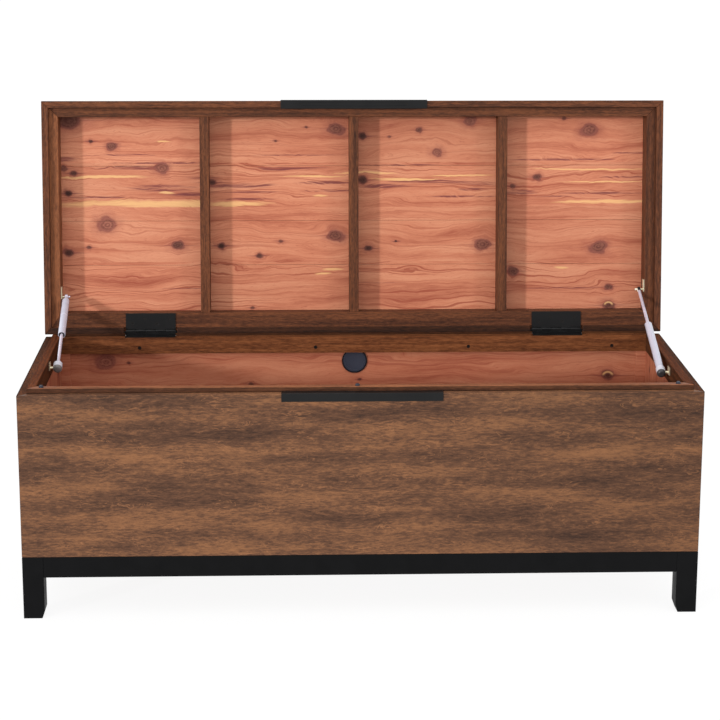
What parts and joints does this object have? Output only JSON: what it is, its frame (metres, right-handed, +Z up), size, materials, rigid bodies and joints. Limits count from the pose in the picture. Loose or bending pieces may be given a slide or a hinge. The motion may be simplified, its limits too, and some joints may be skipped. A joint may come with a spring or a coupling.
{
  "type": "storage chest",
  "caption": "Long cedar-lined walnut storage chest with a framed lid on butt hinges, held open by gas struts, on a black base.",
  "frame": {"origin": "on the floor under the centre of the open chest's bounding box, so a little behind the middle of the case", "axes": "+X to the right along the chest's length as seen from the front, +Y towards the back where the lid is hinged, +Z up"},
  "size_m": [1.2192, 0.567, 0.8776],
  "materials": {
    "walnut_case": "satin walnut veneer, grain running along the chest",
    "walnut_lid": "satin walnut",
    "walnut_inner": "satin walnut",
    "walnut_rail": "satin walnut, lighter and more orange than the outside",
    "plywood": "plain",
    "cedar": "unfinished aromatic cedar with knots and pale streaks",
    "black_wood": "satin black stain",
    "black_metal": "matt black powder coat",
    "dark_screws": "black oxide",
    "bumper_rubber": "blue-grey, soft",
    "grommet_plastic": "black, moulded",
    "strut_paint": "pale silver paint",
    "strut_chrome": "polished",
    "strut_seal": "black",
    "strut_socket": "pale grey end fitting",
    "strut_socket_dark": "dark end fitting",
    "bracket_metal": "zinc plated"
  },
  "bodies": {
    "case": {"base_rail_back": "black_wood", "base_rail_front": "black_wood", "base_rail_left": "black_wood", "base_rail_right": "black_wood", "case_back_panel": "walnut_case", "case_bottom_panel": "plywood", "case_front_panel": "walnut_case", "case_left_panel": "walnut_case", "case_pull": "black_metal", "case_right_panel": "walnut_case", "grommet_cap": "grommet_plastic", "grommet_ring": "grommet_plastic", "hinge_case_leaves": "black_metal", "hinge_case_screws": "dark_screws", "hinge_pins": "black_metal", "leg_back_left": "black_wood", "leg_back_right": "black_wood", "leg_front_left": "black_wood", "leg_front_right": "black_wood", "lining_back": "cedar", "lining_floor": "cedar", "lining_front": "cedar", "lining_left": "cedar", "lining_right": "cedar", "lip_bumpers": "bumper_rubber", "lip_rail_back": "walnut_rail", "lip_rail_front": "walnut_rail", "lip_rail_left": "walnut_rail", "lip_rail_right": "walnut_rail", "lip_rail_screws": "dark_screws", "strut_case_brackets": "bracket_metal"},
    "lid": {"hinge_lid_leaves": "black_metal", "hinge_lid_screws": "dark_screws", "lid_battens": "walnut_inner", "lid_cedar_1": "cedar", "lid_cedar_2": "cedar", "lid_cedar_3": "cedar", "lid_cedar_4": "cedar", "lid_frame_back": "walnut_lid", "lid_frame_front": "walnut_lid", "lid_frame_left": "walnut_lid", "lid_frame_right": "walnut_lid", "lid_pull": "black_metal", "lid_pull_screws": "dark_screws", "lid_strip_back": "walnut_inner", "lid_strip_front": "walnut_inner", "lid_strip_left": "walnut_inner", "lid_strip_right": "walnut_inner", "lid_top_panel": "walnut_lid", "strut_lid_brackets": "bracket_metal"},
    "left_strut_lower": {"left_strut_rod": "strut_chrome", "left_strut_socket": "strut_socket"},
    "left_strut_upper": {"left_strut_tube": "strut_paint", "left_strut_gland": "strut_seal", "left_strut_eye": "strut_chrome"},
    "right_strut_lower": {"right_strut_tube": "strut_paint", "right_strut_gland": "strut_seal", "right_strut_socket": "strut_socket_dark"},
    "right_strut_upper": {"right_strut_rod": "strut_chrome", "right_strut_eye": "strut_chrome"}
  },
  "joints": [
    {"name": "lid_hinge", "type": "hinge", "parent": "case", "child": "lid", "pos_m": [0, 0.17014, 0.4264], "axis": [1, 0, 0], "range_deg": [0, 97]},
    {"name": "left_strut_pivot", "type": "hinge", "parent": "case", "child": "left_strut_lower", "pos_m": [-0.5625, -0.04706, 0.407], "axis": [1, 0, 0], "range_deg": [-5.98, 0]},
    {"name": "left_strut_slide", "type": "slide", "parent": "left_strut_lower", "child": "left_strut_upper", "axis": [-0.0254, 0.9441, 0.3286], "range_m": [-0.10135, 0]},
    {"name": "right_strut_pivot", "type": "hinge", "parent": "case", "child": "right_strut_lower", "pos_m": [0.5625, -0.10906, 0.407], "axis": [1, 0, 0], "range_deg": [-7.26, 0]},
    {"name": "right_strut_slide", "type": "slide", "parent": "right_strut_lower", "child": "right_strut_upper", "axis": [0.0204, 0.9554, 0.2946], "range_m": [-0.11356, 0]}
  ],
  "couplings": [
    {"joint": "left_strut_pivot", "follows": "lid_hinge", "ratio": -0.061088},
    {"joint": "left_strut_slide", "follows": "lid_hinge", "m_per_rad": -0.059749},
    {"joint": "right_strut_pivot", "follows": "lid_hinge", "ratio": -0.074287},
    {"joint": "right_strut_slide", "follows": "lid_hinge", "m_per_rad": -0.066957}
  ]
}
